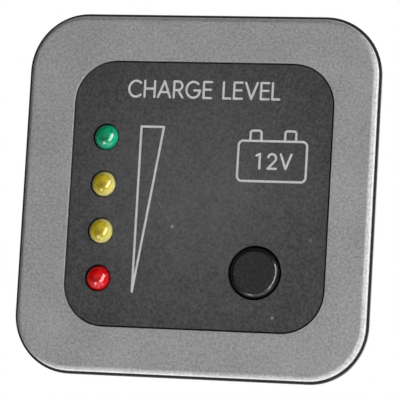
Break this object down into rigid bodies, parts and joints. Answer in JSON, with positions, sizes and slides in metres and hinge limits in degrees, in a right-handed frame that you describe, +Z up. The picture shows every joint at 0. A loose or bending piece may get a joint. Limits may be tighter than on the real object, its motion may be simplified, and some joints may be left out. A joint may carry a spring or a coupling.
{
  "type": "battery tester",
  "caption": "Square flush-mounted tester for a 12 V battery: silver trim frame, dark insert with a column of LEDs, wedge scale and round push-button, body and blade terminals behind.",
  "frame": {"origin": "centre of the pattern of mounting holes, on the surface of the wall (the back of the mounting frame's flange)", "axes": "-Y out of the front face towards the user, +Y into the wall, +Z up, +X to the user's right"},
  "size_m": [0.07, 0.0357, 0.07],
  "materials": {
    "silver_paint": "matt metallic paint, fine grain",
    "frame_black": "satin moulded",
    "label_grey": "matt printed film",
    "print_grey": "screen-printed ink",
    "body_black": "fine moulded texture",
    "screw_steel": "zinc plated",
    "board_green": "solder resist over glass fibre",
    "led_green": "tinted clear epoxy",
    "led_yellow": "tinted clear epoxy",
    "led_red": "tinted clear epoxy",
    "tinned_wire": "tinned",
    "natural_nylon": "natural moulded",
    "button_black": "satin moulded",
    "contact_metal": "bright",
    "spring_steel": "drawn wire",
    "switch_black": "moulded",
    "switch_phenolic": "punched laminate",
    "chip_black": "moulded epoxy",
    "resistor_beige": "lacquered with colour bands",
    "zener_glass": "clear glass body",
    "diode_black": "moulded epoxy",
    "capacitor_sleeve": "shrink sleeve",
    "terminal_brass": "bright stamped"
  },
  "bodies": {
    "panel": {"trim_frame": "silver_paint", "mounting_frame": "frame_black", "label_overlay": "label_grey", "printed_legend": "print_grey", "module_front": "body_black", "rear_shell": "body_black", "shell_screws": "screw_steel", "circuit_board": "board_green", "led_green": "led_green", "led_yellow_high": "led_yellow", "led_yellow_low": "led_yellow", "led_red": "led_red", "led_leads": "tinned_wire", "led_spacers": "natural_nylon", "switch_spring": "spring_steel", "switch_housing": "switch_black", "switch_base": "switch_phenolic", "switch_contacts": "contact_metal", "comparator_chip": "chip_black", "chip_pins": "tinned_wire", "resistors": "resistor_beige", "resistor_leads": "tinned_wire", "zener_diode": "zener_glass", "protection_diode": "diode_black", "diode_leads": "tinned_wire", "smoothing_capacitor": "capacitor_sleeve", "capacitor_leads": "tinned_wire", "terminal_blades": "terminal_brass"},
    "button": {"button_cap": "button_black", "switch_plunger": "natural_nylon", "contact_bridge": "contact_metal"}
  },
  "joints": [
    {"name": "button_press", "type": "slide", "parent": "panel", "child": "button", "axis": [0, 1, 0], "range_m": [0, 0.0015], "stiffness_N_per_m": 600, "springref_m": -0.0015, "deforming": ["switch_spring"]}
  ]
}
